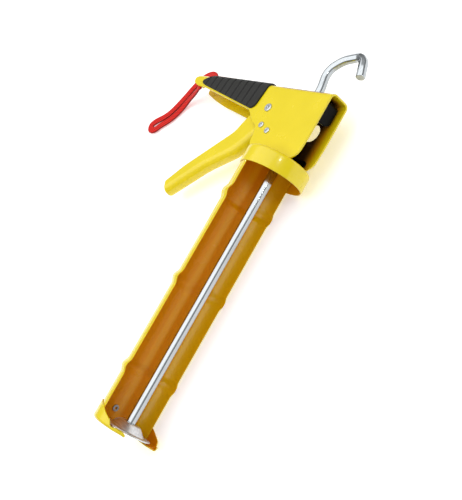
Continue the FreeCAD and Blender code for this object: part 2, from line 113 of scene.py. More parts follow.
# Push rod, piston and springs
rod_flats = 7.5
rod_front = 241.5
rod_line = ((rod_front, 0, 0), (-70.0, 0.0, 30.0), (-88.0, -4.6, 14.0), (-99.2, 8.4, 25.0),
            (-104.6, 28.4, 9.0), (-84.6, 36.4, 0))
rod_corner = 0.34           # how far the hexagon's corners are rounded off
rod_end = 0.9               # the share of the section left at the hook's broken edge
piston_back = rod_front + 0.6
piston_rim = rod_front + 6.9
piston_line = ((piston_back, 3.1, 0), (piston_back, 8.7, 2.5), (piston_rim, 15.2, 2.5), (piston_rim, 21.3, 0))
piston_sheet = 1.1
spring_radius = 6.6


# ---- camera, at the object's own scale ----

camera_place = Vector((0.1753, 0.5057, 0.5413))
camera_aim = Vector((0.0823, -0.0074, 0.0191))
camera_roll = math.radians(-53.0)
camera = bpy.data.objects.new("camera", bpy.data.cameras.new("camera"))
camera.data.lens = 64.8
camera.data.sensor_width = 36.0
camera.location = camera_place
camera.rotation_mode = "QUATERNION"
aimed = (camera_aim - camera_place).to_track_quat("-Z", "Y")
camera.rotation_quaternion = aimed @ Quaternion((0, 0, 1), camera_roll)
bpy.context.collection.objects.link(camera)
bpy.context.scene.camera = camera
bpy.context.scene.view_settings.view_transform = "Standard"


# ---- materials ----

def linear(code):
    """An sRGB hex colour as linear red, green, blue and alpha 1."""
    values = np.array([int(code[i:i + 2], 16) for i in (1, 3, 5)]) / 255
    values = np.where(values <= 0.04045, values / 12.92, ((values + 0.055) / 1.055) ** 2.4)
    return (*values.tolist(), 1.0)


def add(tree, kind, links=None, stops=None, **settings):
    """Adds one node, with its properties, its colour stops and its sockets' values or links."""
    made = tree.nodes.new(kind)
    for key, value in settings.items():
        setattr(made, key, value)
    if stops:
        band = made.color_ramp.elements
        while len(band) < len(stops):
            band.new(0.5)
        for element, (place, colour) in zip(band, stops):
            element.position = place
            element.color = linear(colour)
    for key, value in (links or {}).items():
        if isinstance(value, bpy.types.NodeSocket):
            tree.links.new(value, made.inputs[key])
        else:
            made.inputs[key].default_value = value
    return made


def surface(name, **uniform):
    """A material with one Principled shader, its uniform values set on the shader's own sockets."""
    made = bpy.data.materials.new(name)
    made.use_nodes = True
    tree = made.node_tree
    shader = tree.nodes["Principled BSDF"]
    for key, value in uniform.items():
        shader.inputs[key.replace("_", " ")].default_value = value
    place = add(tree, "ShaderNodeTexCoord").outputs["Object"]
    return made, tree, shader, place


def edge_mask(tree, radius):
    """1 on an edge and 0 on a flat: how far the normal, rounded over radius metres, turns from the real one."""
    rounded = add(tree, "ShaderNodeBevel", {"Radius": radius}, samples=6).outputs[0]
    true = add(tree, "ShaderNodeNewGeometry").outputs["Normal"]
    alike = add(tree, "ShaderNodeVectorMath", {0: rounded, 1: true}, operation="DOT_PRODUCT")
    mask = add(tree, "ShaderNodeMapRange", {0: alike.outputs["Value"], 1: 0.995, 2: 0.85, 3: 0.0, 4: 1.0})
    return mask.outputs[0], rounded


def painted_shade(tree, _=None):
    """A piece's own painted shade attribute: 0 outside, up to 1 in a hollow or a groove, where shade falls. It
    is 0 on a piece without one.
    """
    return add(tree, "ShaderNodeAttribute", attribute_name="painted_shade").outputs["Fac"]


def channel_depth(tree, place):
    """The share of painted shade inside the housing: 0 on its outside and at its open top, 1 deep
    between its side plates. It works in metres in the gun's frame: the distance from the middle plane,
    the height and the place along the axis."""
    wall_inside, wall_middle = 0.0098, 0.0104
    # The painted shade fades in from the open top and is full at the second height
    open_top, full_shade_height = 0.029, 0.013
    handle, handle_top, handle_share = -0.04, -0.03, 0.12
    spine_middle, spine_inside = spine_x / 1000 + 0.0007, spine_x / 1000 + 0.0012
    axes = add(tree, "ShaderNodeSeparateXYZ", {0: place}).outputs
    turned = [(math.sin(gun_roll), -math.cos(gun_roll)), (math.cos(gun_roll), math.sin(gun_roll))]
    sums = []
    for share_y, share_z in turned:
        part = add(tree, "ShaderNodeMath", {0: axes["Y"], 1: share_y}, operation="MULTIPLY").outputs[0]
        lift = -share_z * shell_radius / 1000
        whole = add(tree, "ShaderNodeMath", {0: axes["Z"], 1: share_z, 2: part},
                    operation="MULTIPLY_ADD").outputs[0]
        sums.append(add(tree, "ShaderNodeMath", {0: whole, 1: lift}, operation="ADD").outputs[0])
    side = add(tree, "ShaderNodeMath", {0: sums[0]}, operation="ABSOLUTE").outputs[0]
    inside = add(tree, "ShaderNodeMapRange", {0: side, 1: wall_inside, 2: wall_middle, 3: 1.0,
                                              4: 0.0}).outputs[0]
    deep = add(tree, "ShaderNodeMapRange", {0: sums[1], 1: open_top, 2: full_shade_height, 3: 0.0, 4: 1.0},
               interpolation_type="SMOOTHSTEP").outputs[0]
    above = add(tree, "ShaderNodeMapRange", {0: sums[1], 1: handle, 2: handle_top, 3: handle_share,
                                             4: 1.0}).outputs[0]
    ahead = add(tree, "ShaderNodeMapRange", {0: axes["X"], 1: spine_middle, 2: spine_inside}).outputs[0]
    within = add(tree, "ShaderNodeMath", {0: inside, 1: ahead}, operation="MULTIPLY").outputs[0]
    both = add(tree, "ShaderNodeMath", {0: within, 1: deep}, operation="MULTIPLY").outputs[0]
    return add(tree, "ShaderNodeMath", {0: both, 1: above}, operation="MULTIPLY").outputs[0]


def enamel(name, middle, inner, hollow):
    """Baked enamel sprayed on pressed steel: an even lemon yellow under a glossy skin, with the fine
    ripple of sprayed paint, thinner and warmer on the edges. Painted shade in hollows: by the share
    that hollow gives, the colour turns to the middle and then the inner colour, with less gloss."""
    made, tree, shader, place = surface(name, IOR=1.5, Coat_Roughness=0.05)
    cloud = add(tree, "ShaderNodeTexNoise", {"Vector": place, "Scale": 45.0, "Detail": 3.0})
    shade = add(tree, "ShaderNodeValToRGB", {0: cloud.outputs[0]}, [(0.3, "#e3cd08"), (0.7, "#e9d30e")])
    # Painted shade: each point's hollow share moves the colour towards the middle and then the inner colour
    deep = hollow(tree, place)
    mask, rounded = edge_mask(tree, 0.0006)
    thin = add(tree, "ShaderNodeMath", {0: mask, 1: 0.4}, operation="MULTIPLY").outputs[0]
    worn = add(tree, "ShaderNodeMix", {0: thin, 6: shade.outputs[0], 7: linear("#d8a810")}, data_type="RGBA")
    near = add(tree, "ShaderNodeMapRange", {0: deep, 2: 0.5}).outputs[0]
    far = add(tree, "ShaderNodeMapRange", {0: deep, 1: 0.5}).outputs[0]
    half = add(tree, "ShaderNodeMix", {0: near, 6: worn.outputs[2], 7: linear(middle)}, data_type="RGBA")
    both = add(tree, "ShaderNodeMix", {0: far, 6: half.outputs[2], 7: linear(inner)}, data_type="RGBA")
    tree.links.new(both.outputs[2], shader.inputs["Base Color"])
    dull = add(tree, "ShaderNodeMapRange", {0: cloud.outputs[0], 3: 0.2, 4: 0.32})
    tree.links.new(dull.outputs[0], shader.inputs["Roughness"])
    gloss = add(tree, "ShaderNodeMapRange", {0: deep, 3: 0.3, 4: 0.05})
    tree.links.new(gloss.outputs[0], shader.inputs["Coat Weight"])
    skin = add(tree, "ShaderNodeMapRange", {0: deep, 3: 0.4, 4: 0.12})
    tree.links.new(skin.outputs[0], shader.inputs["Specular IOR Level"])
    # Ripple of sprayed paint, about 1.6 mm from crest to crest
    ripple = add(tree, "ShaderNodeTexNoise", {"Vector": place, "Scale": 600.0, "Detail": 1.0})
    bump = add(tree, "ShaderNodeBump", {"Height": ripple.outputs[0], "Strength": 0.06, "Distance": 0.0003,
                                        "Normal": rounded})
    tree.links.new(bump.outputs[0], shader.inputs["Normal"])
    return made


def bare_metal(name, colours, roughness, stretch, scale, strength, rounding=0.0003):
    """Bare or plated steel: two close greys and a roughness that change along fine lines drawn out by
    stretch, with its sharp edges rounded off."""
    made, tree, shader, place = surface(name, Metallic=1.0)
    turned = add(tree, "ShaderNodeMapping", {"Vector": place, "Scale": stretch})
    lines = add(tree, "ShaderNodeTexNoise", {"Vector": turned.outputs[0], "Scale": scale, "Detail": 4.0})
    shade = add(tree, "ShaderNodeValToRGB", {0: lines.outputs[0]}, [(0.3, colours[0]), (0.7, colours[1])])
    tree.links.new(shade.outputs[0], shader.inputs["Base Color"])
    dull = add(tree, "ShaderNodeMapRange", {0: lines.outputs[0], 3: roughness[0], 4: roughness[1]})
    tree.links.new(dull.outputs[0], shader.inputs["Roughness"])
    rounded = add(tree, "ShaderNodeBevel", {"Radius": rounding}, samples=6).outputs[0]
    bump = add(tree, "ShaderNodeBump", {"Height": lines.outputs[0], "Strength": strength,
                                        "Distance": 0.0002, "Normal": rounded})
    tree.links.new(bump.outputs[0], shader.inputs["Normal"])
    return made


def moulded(name, colours, roughness, grain_scale, strength, skin=0.3):
    """A near black, matt, unplated surface such as moulded rubber: a fine grain, a paler bloom, paler
    edges and painted shade in its grooves. Skin is how much it shines."""
    made, tree, shader, place = surface(name, IOR=1.5, Specular_IOR_Level=skin)
    bloom = add(tree, "ShaderNodeTexNoise", {"Vector": place, "Scale": 90.0, "Detail": 4.0})
    shade = add(tree, "ShaderNodeValToRGB", {0: bloom.outputs[0]}, [(0.3, colours[0]), (0.75, colours[1])])
    mask, rounded = edge_mask(tree, 0.0005)
    rubbed = add(tree, "ShaderNodeMix", {0: mask, 6: shade.outputs[0], 7: linear(colours[2])},
                 data_type="RGBA")
    # Painted shade in grooves: by the piece's shade share, the colour turns near black
    groove_shade = add(tree, "ShaderNodeMix", {0: painted_shade(tree), 6: rubbed.outputs[2], 7: linear("#0b0b0a")},
                data_type="RGBA")
    tree.links.new(groove_shade.outputs[2], shader.inputs["Base Color"])
    dull = add(tree, "ShaderNodeMapRange", {0: bloom.outputs[0], 3: roughness[0], 4: roughness[1]})
    tree.links.new(dull.outputs[0], shader.inputs["Roughness"])
    grain = add(tree, "ShaderNodeTexNoise", {"Vector": place, "Scale": grain_scale, "Detail": 2.0})
    bump = add(tree, "ShaderNodeBump", {"Height": grain.outputs[0], "Strength": strength,
                                        "Distance": 0.0002, "Normal": rounded})
    tree.links.new(bump.outputs[0], shader.inputs["Normal"])
    return made


def webbing():
    """Woven polyester webbing: red threads across its width, 0.8 mm apart, which is as coarse as they
    need to be to show, darker where one dips under the next, with a soft sheen of loose fibres. Its
    edges are darkened with painted shade, for the shadow between the strap's two runs lying side by side."""
    made, tree, shader, _ = surface("webbing_woven", Roughness=0.75, Specular_IOR_Level=0.25,
                                    Sheen_Weight=0.05, Sheen_Roughness=0.5)
    grid = add(tree, "ShaderNodeUVMap", uv_map="thread").outputs[0]
    turned = add(tree, "ShaderNodeMapping", {"Vector": grid, "Rotation": (0, 0, math.radians(38))})
    twill = add(tree, "ShaderNodeTexWave", {"Vector": turned.outputs[0], "Scale": 200.0, "Distortion": 1.2,
                                            "Detail": 2.0})
    shade = add(tree, "ShaderNodeValToRGB", {0: twill.outputs[0]}, [(0.05, "#a30f0b"), (0.6, "#e0241a")])
    across = add(tree, "ShaderNodeSeparateXYZ", {0: grid}).outputs["Y"]
    side = add(tree, "ShaderNodeMath", {0: across}, operation="ABSOLUTE").outputs[0]
    # Painted shade along both edges of the strap, for the shadow between its two runs
    edge = add(tree, "ShaderNodeMapRange", {0: side, 1: strap_width * 0.42, 2: strap_width * 0.5, 4: 0.85})
    dark = add(tree, "ShaderNodeMix", {0: edge.outputs[0], 6: shade.outputs[0], 7: linear("#4a0806")},
               data_type="RGBA")
    tree.links.new(dark.outputs[2], shader.inputs["Base Color"])
    bump = add(tree, "ShaderNodeBump", {"Height": twill.outputs[0], "Strength": 0.5, "Distance": 0.0003})
    tree.links.new(bump.outputs[0], shader.inputs["Normal"])
    return made


finishes = {
    # Painted shade inside the cradle: amber to brown, where its two sides shade and light each other
    "yellow_enamel": enamel("baked_enamel_sprayed", "#e6a905", "#d68203", painted_shade),
    # Bright zinc plate on cold-headed steel: cool pale grey with a faint crystalline mottle
    "zinc_steel": bare_metal("zinc_plate_barrelled", ("#c9cdd0", "#e4e7ea"), (0.22, 0.36),
                             (1, 1, 1), 500, 0.08),
    # Bright plate on a cold-drawn bar: near white, mirror smooth, with drawing lines along it
    "plated_rod": bare_metal("bright_plate_on_drawn_bar", ("#a6abae", "#babfc2"), (0.08, 0.16),
                             (0.03, 1, 1), 1400, 0.05, 0.0004),
    # Plated pressed sheet: duller than the bar, with faint rolling lines
    "plated_plate": bare_metal("zinc_plate_on_pressed_sheet", ("#c2c5c8", "#dfe2e4"), (0.25, 0.4),
                               (1, 0.1, 1), 700, 0.06),
    # Hardened steel, ground flat: darker grey with grinding lines
    "hard_steel": bare_metal("hardened_steel_ground", ("#7e8083", "#a2a5a8"), (0.3, 0.45),
                             (1, 0.05, 1), 900, 0.1),
    # Drawn spring wire: mid grey with die lines
    "spring_wire": bare_metal("spring_wire_drawn", ("#84878b", "#a9acb0"), (0.25, 0.4), (1, 1, 1), 900, 0.05),
    # Moulded rubber: matt near black that greys a little on its ribs' edges
    "grip_rubber": moulded("rubber_moulded", ("#232321", "#2c2c2a", "#3a3a37"), (0.5, 0.68), 1500, 0.25),
    # Moulded nylon: smoother and blacker than the grip
    "bush_nylon": moulded("nylon_moulded", ("#121212", "#1b1b1b", "#262626"), (0.35, 0.5), 1200, 0.1),
    # Steel under oiled black oxide: a dark skin that shines less than a plated one
    "black_oxide_steel": moulded("steel_black_oxide", ("#050504", "#0a0907", "#24211c"), (0.3, 0.4),
                                 800, 0.08, 0.08),
    "strap_webbing": webbing(),
}

# The housing's inside carries painted shade: darker from the open top down between the side plates, where the
# walls shade each other
channel_enamel = enamel("baked_enamel_with_painted_shade", "#c98a06", "#3d2406", channel_depth)


# ---- surfaces ----

def laid(points):
    """Gun-frame millimetres as row-frame metres: the gun's up turns to +Y, its left turns down to the
    bench, and the roll tips the handle down to it."""
    x, y, z = np.moveaxis(np.asarray(points, float), -1, 0)
    across = z * math.cos(gun_roll) + y * math.sin(gun_roll)
    height = z * math.sin(gun_roll) - y * math.cos(gun_roll) + shell_radius
    return np.stack([x, across, height], -1) / 1000


def quads(index):
    """One face for every four neighbours in a grid of point numbers."""
    corners = [index[:-1, :-1], index[1:, :-1], index[1:, 1:], index[:-1, 1:]]
    return np.stack(corners, -1).reshape(-1, 4).tolist()


def numbered(rows, columns, first=0):
    """The point numbers of a grid, row by row."""
    return first + np.arange(rows * columns).reshape(rows, columns)


def wrapped(index, closes=True):
    """The point numbers with the first column again at the end, where the grid closes on itself."""
    return np.hstack([index, index[:, :1]]) if closes else index


def tube_faces(rows, columns):
    """The faces of a closed tube of rings, with one face on each end."""
    index = numbered(rows, columns)
    return quads(wrapped(index)) + [index[0].tolist(), index[-1].tolist()]


def outward(mesh):
    """Turns the mesh's faces outwards and smooths its shading."""
    shape = bmesh.new()
    shape.from_mesh(mesh)
    bmesh.ops.recalc_face_normals(shape, faces=shape.faces)
    shape.to_mesh(mesh)
    shape.free()
    mesh.shade_smooth()


def placed(mesh, slot, body, nodes):
    """Puts the mesh in place of its CAD nodes, riding on their body."""
    made = bpy.data.objects.new(mesh.name, mesh)
    bpy.context.collection.objects.link(made)
    mesh.materials.append(finishes[slot])
    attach(made, body)
    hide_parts(*nodes)
    return made


def piece(name, points, faces, slot, body, nodes, sharp=38.0, hollow=None):
    """A mesh from points in the gun's frame, in place of its CAD nodes. Its shading breaks at edges of
    more than sharp degrees, and hollow is each point's share of painted shade, which darkens its colour."""
    mesh = bpy.data.meshes.new(name)
    mesh.from_pydata(laid(points).reshape(-1, 3).tolist(), [], faces)
    if hollow is not None:
        mesh.attributes.new("painted_shade", "FLOAT", "POINT").data.foreach_set("value", np.ravel(hollow))
    outward(mesh)
    mesh.set_sharp_from_angle(angle=math.radians(sharp))
    return placed(mesh, slot, body, nodes)


def rimmed(grid, inset):
    """Adds lines of points beside a grid's first and last rows, one inset and a third of it away, and
    returns each row's share of the sheet's full thickness."""
    def beside(edge, inner, share):
        way = inner - edge
        return edge + way * (inset * share / np.linalg.norm(way, axis=-1, keepdims=True))
    head = [grid[0], beside(grid[0], grid[1], 0.3), beside(grid[0], grid[1], 1.0)]
    tail = [beside(grid[-1], grid[-2], 1.0), beside(grid[-1], grid[-2], 0.3), grid[-1]]
    share = np.ones(len(grid) + 4)
    share[:2] = share[-2:][::-1] = (0.35, 0.8)
    return np.stack([*head, *grid[1:-1], *tail]), share


def unit(vectors):
    """The vectors at length 1."""
    return vectors / np.linalg.norm(vectors, axis=-1, keepdims=True)


def pressed_sheet(grid, thickness, closes=False):
    """Points and faces of a pressed sheet. The grid holds points of its middle surface. The two faces lie
    half a thickness along the surface's normal, the cross product of the grid's two directions, and
    less beside a free edge, so that the edge rounds off."""
    grid, down = rimmed(grid, thickness / 2)
    over = np.ones(grid.shape[1])
    if not closes:
        turned, over = rimmed(grid.transpose(1, 0, 2), thickness / 2)
        grid = turned.transpose(1, 0, 2)
    along = np.gradient(grid, axis=0)
    if closes:
        around = (np.roll(grid, -1, 1) - np.roll(grid, 1, 1)) / 2
    else:
        around = np.gradient(grid, axis=1)
    normal = unit(np.cross(along, around))
    half = thickness / 2 * np.minimum(down[:, None], over[None, :])[..., None]
    rows, columns = grid.shape[:2]
    points = np.stack([grid + normal * half, grid - normal * half])
    front = numbered(rows, columns)
    back = numbered(rows, columns, rows * columns)
    faces = quads(wrapped(front, closes)) + quads(wrapped(back, closes)[:, ::-1])
    edges = [(wrapped(front[:1], closes), wrapped(back[:1], closes)),
             (wrapped(front[-1:], closes), wrapped(back[-1:], closes))]
    if not closes:
        edges += [(front[:, :1].T, back[:, :1].T), (front[:, -1:].T, back[:, -1:].T)]
    for one, other in edges:
        faces += quads(np.vstack([one, other]))
    return points.reshape(-1, 3), faces


def rounded_line(corners, step=0.8):
    """Points along straight runs joined by tangent arcs, from (a, b, radius) corners in one plane: arc
    points turn about a centre on the corner's bisector, a radius over the sine of the half angle away."""
    places = np.array([corner[:2] for corner in corners], float)
    lines = [places[:1]]
    for before, corner, after, radius in zip(places, places[1:], places[2:], [c[2] for c in corners[1:]]):
        back, on = unit(before - corner), unit(after - corner)
        half = math.acos(np.clip(back @ on, -1, 1)) / 2
        centre = corner + unit(back + on) * (radius / math.sin(half))
        first = corner + back * (radius / math.tan(half)) - centre
        last = corner + on * (radius / math.tan(half)) - centre
        turn = math.pi - 2 * half
        share = np.linspace(0, 1, max(3, int(radius * turn / step) + 2))[:, None]
        arc = np.sin((1 - share) * turn) * first + np.sin(share * turn) * last
        lines.append(centre + arc / math.sin(turn))
    return np.vstack([*lines, places[-1:]])


def spaced(line, count=None, step=None):
    """The line's points moved to equal distances along it."""
    length = np.r_[0, np.cumsum(np.linalg.norm(np.diff(line, axis=0), axis=1))]
    places = np.linspace(0, length[-1], count or int(length[-1] / step) + 2)
    return np.stack([np.interp(places, length, line[:, i]) for i in range(line.shape[1])], -1)


def turned_sheet(profile, count=128):
    """A closed grid of an (x, radius) line turned about the rod's axis."""
    angle = np.linspace(0, 2 * math.pi, count, endpoint=False)
    x, radius = profile[:, :1], profile[:, 1:]
    return np.stack([x + 0 * angle, radius * np.sin(angle), -radius * np.cos(angle)], -1)


# ---- barrel group ----

def half_barrel():
    """Middle surface: an arc about the rod's axis whose radius swells by half a cosine wave at each
    bead, from rim to rim; the rims stay level, so the arc's end angle follows the radius."""
    low, high = shell_sheet + barrel_setback, barrel_front - shell_sheet - barrel_setback
    x = np.linspace(low, high, 200)[:, None]
    reach = [(x - place) / (bead_length / 2) for place in bead_places]
    swell = sum(np.where(abs(r) < 1, np.cos(r * math.pi) + 1, 0) for r in reach) * bead_height / 2
    radius = barrel_radius - barrel_sheet / 2 + swell
    angle = np.arccos(rim_drop / radius) * np.linspace(-1, 1, 72)
    grid = np.stack([x + 0 * angle, radius * np.sin(angle), -radius * np.cos(angle)], -1)
    points, faces = pressed_sheet(grid, barrel_sheet)
    # Painted shade on the inside of the cradle, its share set by the angle from the barrel's bottom
    middle = np.hypot(points[:, 1], points[:, 2])
    share = np.interp(points[:, 0], x[:, 0], radius[:, 0])
    around = np.arctan2(points[:, 1], -points[:, 2])
    angle_shade = np.interp(around, *np.transpose(painted_shade_shares))
    inner = np.clip((share - middle) / (barrel_sheet / 4), 0, 1) * angle_shade
    return piece("half_barrel_pressing", points, faces, "yellow_enamel", "frame", ["half_barrel"], hollow=inner)


def shell_hollow(points, disc, way):
    """1 on the inside of a cup's wall and disc, and 0 on its outside. The cup opens from its disc's
    middle surface the given way along the axis."""
    wall = shell_radius - shell_sheet / 2 - np.hypot(points[:, 1], points[:, 2])
    beyond = way * (points[:, 0] - disc)
    return np.clip(wall / hollow_fade, 0, 1) * np.clip(beyond / hollow_fade, 0, 1)


def collar():
    """A cup turned about the rod's axis: a disc, a rounded corner and a wall."""
    middle = shell_radius - shell_sheet / 2
    disc = shell_sheet / 2
    line = rounded_line([(disc, bush_radius + bush_gap, 0), (disc, middle, cup_bend),
                         (collar_length, middle, 0)], 0.3)
    points, faces = pressed_sheet(turned_sheet(line, 144), shell_sheet, closes=True)
    # The cup's inside takes painted shade, at 0.6 of the full share
    return piece("collar_pressing", points, faces, "yellow_enamel", "frame", ["collar"],
                 hollow=0.6 * shell_hollow(points, disc, 1))


def front_cap():
    """A cup's profile (disc, rounded corner, wall) turned about the rod's axis and past the rims as two
    arms. The wall's depth falls along the arms, with a notch, and the disc starts at the nozzle slot's
    edge: a circle below the axis and two straight sides above it."""
    middle = shell_radius - shell_sheet / 2
    face = barrel_front - shell_sheet / 2
    end = math.acos(-cap_arms_top / middle)
    angle = np.linspace(-end, end, 280)
    turn = np.degrees(abs(angle))
    slot = np.where(turn < 90, nozzle_half, nozzle_half / abs(np.sin(angle)))
    depth = np.interp(turn, *np.transpose(cap_depths))
    smooth = np.array([1, 2, 3, 2, 1]) / 9
    depth = np.convolve(np.pad(depth, 2, mode="edge"), smooth, "valid")
    columns = []
    for inner, deep in zip(slot, depth):
        bend = min(cup_bend, (deep - shell_sheet / 2) * 0.8)
        corners = [(face, inner, 0), (face, middle, bend), (barrel_front - deep, middle, 0)]
        columns.append(spaced(rounded_line(corners, 0.3), count=40))
    line = np.stack(columns, 1)
    grid = np.stack([line[..., 0], line[..., 1] * np.sin(angle), -line[..., 1] * np.cos(angle)], -1)
    points, faces = pressed_sheet(grid, shell_sheet)
    # The cup's inside takes painted shade
    return piece("front_cap_pressing", points, faces, "yellow_enamel", "frame", ["front_cap"],
                 hollow=shell_hollow(points, face, -1))


# ---- handle group ----

def hand_grip():
    """A skin on the handle's channel. Its section runs round the channel, side, spine and side, and
    moves down the handle on slanting lines; the outside sinks in a groove every groove_pitch."""
    front = spaced(rounded_line(grip_front), count=grip_rows)
    spine = np.stack([np.full(grip_rows, spine_x), np.linspace(grip_top, grip_bottom, grip_rows)], -1)
    bend = channel_corner
    side = np.linspace(0, 1, 30)[:, None, None]
    flat = front[None] + (np.array([spine_x + bend, 0]) - front)[None] * side
    slope = (front[:, 1] - spine[:, 1]) / (front[:, 0] - spine_x)
    x_side = flat[..., 0]
    z_side = spine[:, 1] + slope * (x_side - spine_x)
    turn = np.linspace(0, math.pi / 2, 9)[1:, None]
    x_bend = spine_x + bend - bend * np.sin(turn) + 0 * slope
    y_bend = channel_half - bend + bend * np.cos(turn) + 0 * slope
    z_bend = spine[:, 1] + slope * (x_bend - spine_x)
    x = np.vstack([x_side, x_bend])
    y = np.vstack([x_side * 0 + channel_half, y_bend])
    z = np.vstack([z_side, z_bend])
    half = np.stack([x, y, z], -1)
    other = half[::-1] * np.array([1, -1, 1])
    back = np.linspace(half[-1], other[0], 8)[1:-1]
    grid = np.vstack([half, back, other]).transpose(1, 0, 2)
    away = unit(np.cross(np.gradient(grid, axis=0), np.gradient(grid, axis=1)))
    away[..., 2] = 0
    away = unit(away)
    down = grip_top - grid[..., 2] - groove_slope * (grid[..., 0] - spine_x)
    wave = (down - groove_first) / groove_pitch
    gap = abs(wave - np.round(wave)) * groove_pitch
    groove = np.where((wave > -0.5) & (wave < groove_count + 0.5), np.clip(1 - gap / groove_half, 0, 1), 0)
    edge_row = np.minimum(np.arange(grip_rows), np.arange(grip_rows)[::-1])[:, None] * row_pitch
    columns = grid.shape[1]
    edge_column = np.minimum(np.arange(columns), np.arange(columns)[::-1])[None] * column_pitch
    rim = np.clip(np.minimum(edge_row, edge_column) / grip_edge, 0, 1)
    swell = 0.35 + 0.65 * np.sqrt(1 - (1 - rim) ** 2)
    groove = np.sqrt(groove) * (rim > 0.4)
    skin = grip_skin * swell - groove_depth * groove
    outer = grid + away * skin[..., None]
    inner = grid + away * grip_gap
    rows = len(grid)
    top, bottom = numbered(rows, columns), numbered(rows, columns, rows * columns)
    faces = quads(top) + quads(bottom[:, ::-1])
    for one, two in ((top[:1], bottom[:1]), (top[-1:], bottom[-1:]),
                     (top[:, :1].T, bottom[:, :1].T), (top[:, -1:].T, bottom[:, -1:].T)):
        faces += quads(np.vstack([one, two]))
    points = np.vstack([outer.reshape(-1, 3), inner.reshape(-1, 3)])
    # The grooves take painted shade, by their groove share
    return piece("hand_grip_moulding", points, faces, "grip_rubber", "frame", ["hand_grip"], sharp=50,
                 hollow=np.concatenate([groove.ravel(), np.zeros(groove.size)]))


# ---- trigger group ----

def trigger():
    """A pressed channel open to the handle. Its section is a U: two sides joined by arcs to a web, with
    its depth measured from the front line towards the back line; the sides' edges stop a little short of the
    back line."""
    front = spaced(rounded_line(trigger_front), count=trigger_rows)
    back = spaced(rounded_line(trigger_back), count=trigger_rows)
    bend = trigger_bend
    inset = trigger_sheet / 2
    half = trigger_half - inset
    way = back - front
    deep = np.linalg.norm(way, axis=1, keepdims=True) - trigger_trim
    way = unit(way)
    side = np.linspace(1, 0, 16)[None]
    depth_side = bend + inset + (deep - bend - inset) * side
    y_side = np.full_like(depth_side, -half)
    turn = np.linspace(0, math.pi / 2, 12)[1:]
    depth_bend = inset + bend - bend * np.sin(turn) + 0 * deep
    y_bend = -half + bend - bend * np.cos(turn) + 0 * deep
    web = np.linspace(-half + bend, 0, 3)[1:]
    depth = np.hstack([depth_side, depth_bend, inset + 0 * web + 0 * deep])
    y = np.hstack([y_side, y_bend, web + 0 * deep])
    depth = np.hstack([depth, depth[:, -2::-1]])
    y = np.hstack([y, -y[:, -2::-1]])
    x = front[:, :1] + way[:, :1] * depth
    z = front[:, 1:] + way[:, 1:] * depth
    grid = np.stack([x, y, z], -1)
    points, faces = pressed_sheet(grid, trigger_sheet)
    return piece("trigger_pressing", points, faces, "yellow_enamel", "trigger_lever", ["trigger"])


# ---- push rod group ----

def push_rod():
    """A hexagon with rounded corners carried along the rod's line, which bends up into a hook; the
    section stays square to the line and shrinks a little at the hook's end."""
    line = rounded_line(rod_line, 0.5)
    line = np.vstack([line, line[-1] + unit(line[-1] - line[-2]) * 0.01])
    line[-2] -= unit(line[-1] - line[-2]) * 0.5
    way = unit(np.gradient(line, axis=0))
    up = np.stack([-way[:, 1], way[:, 0]], -1)
    flat = rod_flats / 2
    corner = flat / math.cos(math.pi / 6)
    angle = np.linspace(0, 2 * math.pi, 96, endpoint=False)
    near = (angle + math.pi / 6) % (math.pi / 3) - math.pi / 6
    radius = np.minimum(flat / np.cos(near), corner - rod_corner)
    size = np.ones(len(line))
    size[-1] = rod_end
    a = radius * np.cos(angle)
    b = radius * np.sin(angle)
    place = line[:, None] + up[:, None] * (a[None, :, None] * size[:, None, None])
    grid = np.stack([place[..., 0], b[None] * size[:, None], place[..., 1]], -1)
    faces = tube_faces(*grid.shape[:2])
    return piece("push_rod_bar", grid, faces, "plated_rod", "plunger", ["push_rod"], sharp=40)


def piston_plate():
    """A dished disc turned about the rod's axis, with a small rolled rim."""
    line = rounded_line(piston_line, 0.4)
    points, faces = pressed_sheet(turned_sheet(line, 96), piston_sheet, closes=True)
    return piece("piston_pressing", points, faces, "plated_plate", "plunger", ["piston_plate"])


# ---- springs ----

def spring(name, start, end, wire, turns, node):
    """A round wire on a helix about the rod's axis: the wire's section, of radius wire, stands square to
    the helix."""
    turn = np.linspace(0, 2 * math.pi * turns, int(32 * turns))
    rise = (end - start) / (2 * math.pi * turns)
    line = np.stack([start + rise * turn, spring_radius * np.sin(turn), spring_radius * np.cos(turn)], -1)
    way = unit(np.stack([rise + 0 * turn, spring_radius * np.cos(turn), -spring_radius * np.sin(turn)], -1))
    away = np.stack([0 * turn, np.sin(turn), np.cos(turn)], -1)
    beside = np.cross(way, away)
    angle = np.linspace(0, 2 * math.pi, 12, endpoint=False)[None, :, None]
    grid = line[:, None] + wire * (np.cos(angle) * away[:, None] + np.sin(angle) * beside[:, None])
    faces = tube_faces(*grid.shape[:2])
    made = piece(name, grid, faces, "spring_wire", "frame", [node], sharp=60)
    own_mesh(made)


half_barrel()
collar()
front_cap()
hand_grip()
trigger()
push_rod()
piston_plate()
spring("drive_spring_coil", start=-39.16, end=-4.9, wire=0.8, turns=7,
       node="drive_spring")
spring("release_spring_coil", start=-61.2, end=-58.95, wire=0.5, turns=1.5,
       node="release_spring")


# ---- strap ----

